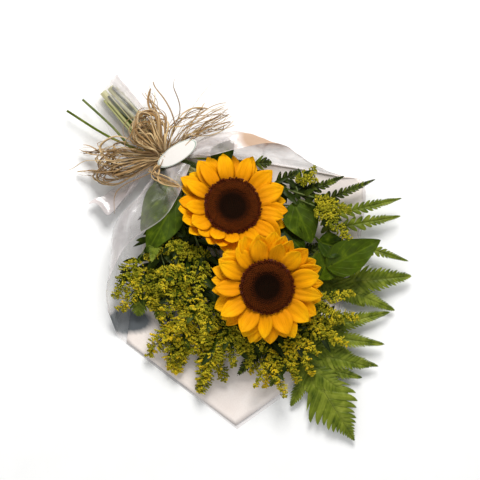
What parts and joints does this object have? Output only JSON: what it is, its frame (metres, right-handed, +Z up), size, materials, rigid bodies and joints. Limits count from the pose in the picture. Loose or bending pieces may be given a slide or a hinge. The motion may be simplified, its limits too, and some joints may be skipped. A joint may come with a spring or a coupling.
{
  "type": "flower bouquet",
  "caption": "Florist's bunch of sunflowers with goldenrod, fern and salal leaves, lying on its back in a clear film wrap with a paper liner, tied with a raffia bow.",
  "frame": {"origin": "a point of the wrap's flat underside, under the middle of the bunch, on the surface it lies on", "axes": "+Z up from the surface, +Y from the cut stems to the blooms, +X to the right seen from above with the blooms away from the viewer"},
  "size_m": [0.345, 0.5064, 0.0909],
  "materials": {
    "film": "clear, creased",
    "paper": "matt white tissue paper",
    "petal": "satin, grooved",
    "disc": "matt, rough with florets",
    "stem": "matt green, hairy",
    "fern": "satin",
    "salal": "semi-gloss, leathery",
    "goldenrod_stem": "matt",
    "goldenrod": "matt, downy",
    "raffia": "matt dry fibre",
    "label": "coated card"
  },
  "bodies": {
    "root": {"film_wrap": "film", "paper_liner": "paper", "sunflower_1_stem": "stem", "sunflower_1_disc": "disc", "sunflower_1_petals": "petal", "sunflower_2_stem": "stem", "sunflower_2_disc": "disc", "sunflower_2_petals": "petal", "fern_1": "fern", "fern_2": "fern", "fern_3": "fern", "fern_4": "fern", "fern_5": "fern", "salal_1": "salal", "salal_2": "salal", "salal_3": "salal", "goldenrod_1_stem": "goldenrod_stem", "goldenrod_2_stem": "goldenrod_stem", "goldenrod_3_stem": "goldenrod_stem", "goldenrod_4_stem": "goldenrod_stem", "goldenrod_5_stem": "goldenrod_stem", "goldenrod_6_stem": "goldenrod_stem", "goldenrod_1_plume_1": "goldenrod", "goldenrod_1_plume_2": "goldenrod", "goldenrod_1_plume_3": "goldenrod", "goldenrod_1_plume_4": "goldenrod", "goldenrod_2_plume_1": "goldenrod", "goldenrod_2_plume_2": "goldenrod", "goldenrod_2_plume_3": "goldenrod", "goldenrod_2_plume_4": "goldenrod", "goldenrod_3_plume_1": "goldenrod", "goldenrod_3_plume_2": "goldenrod", "goldenrod_3_plume_3": "goldenrod", "goldenrod_3_plume_4": "goldenrod", "goldenrod_4_plume_1": "goldenrod", "goldenrod_4_plume_2": "goldenrod", "goldenrod_4_plume_3": "goldenrod", "goldenrod_4_plume_4": "goldenrod", "goldenrod_5_plume_1": "goldenrod", "goldenrod_5_plume_2": "goldenrod", "goldenrod_5_plume_3": "goldenrod", "goldenrod_6_plume_1": "goldenrod", "goldenrod_6_plume_2": "goldenrod", "label": "label", "raffia_tie": "raffia"}
  },
  "joints": []
}
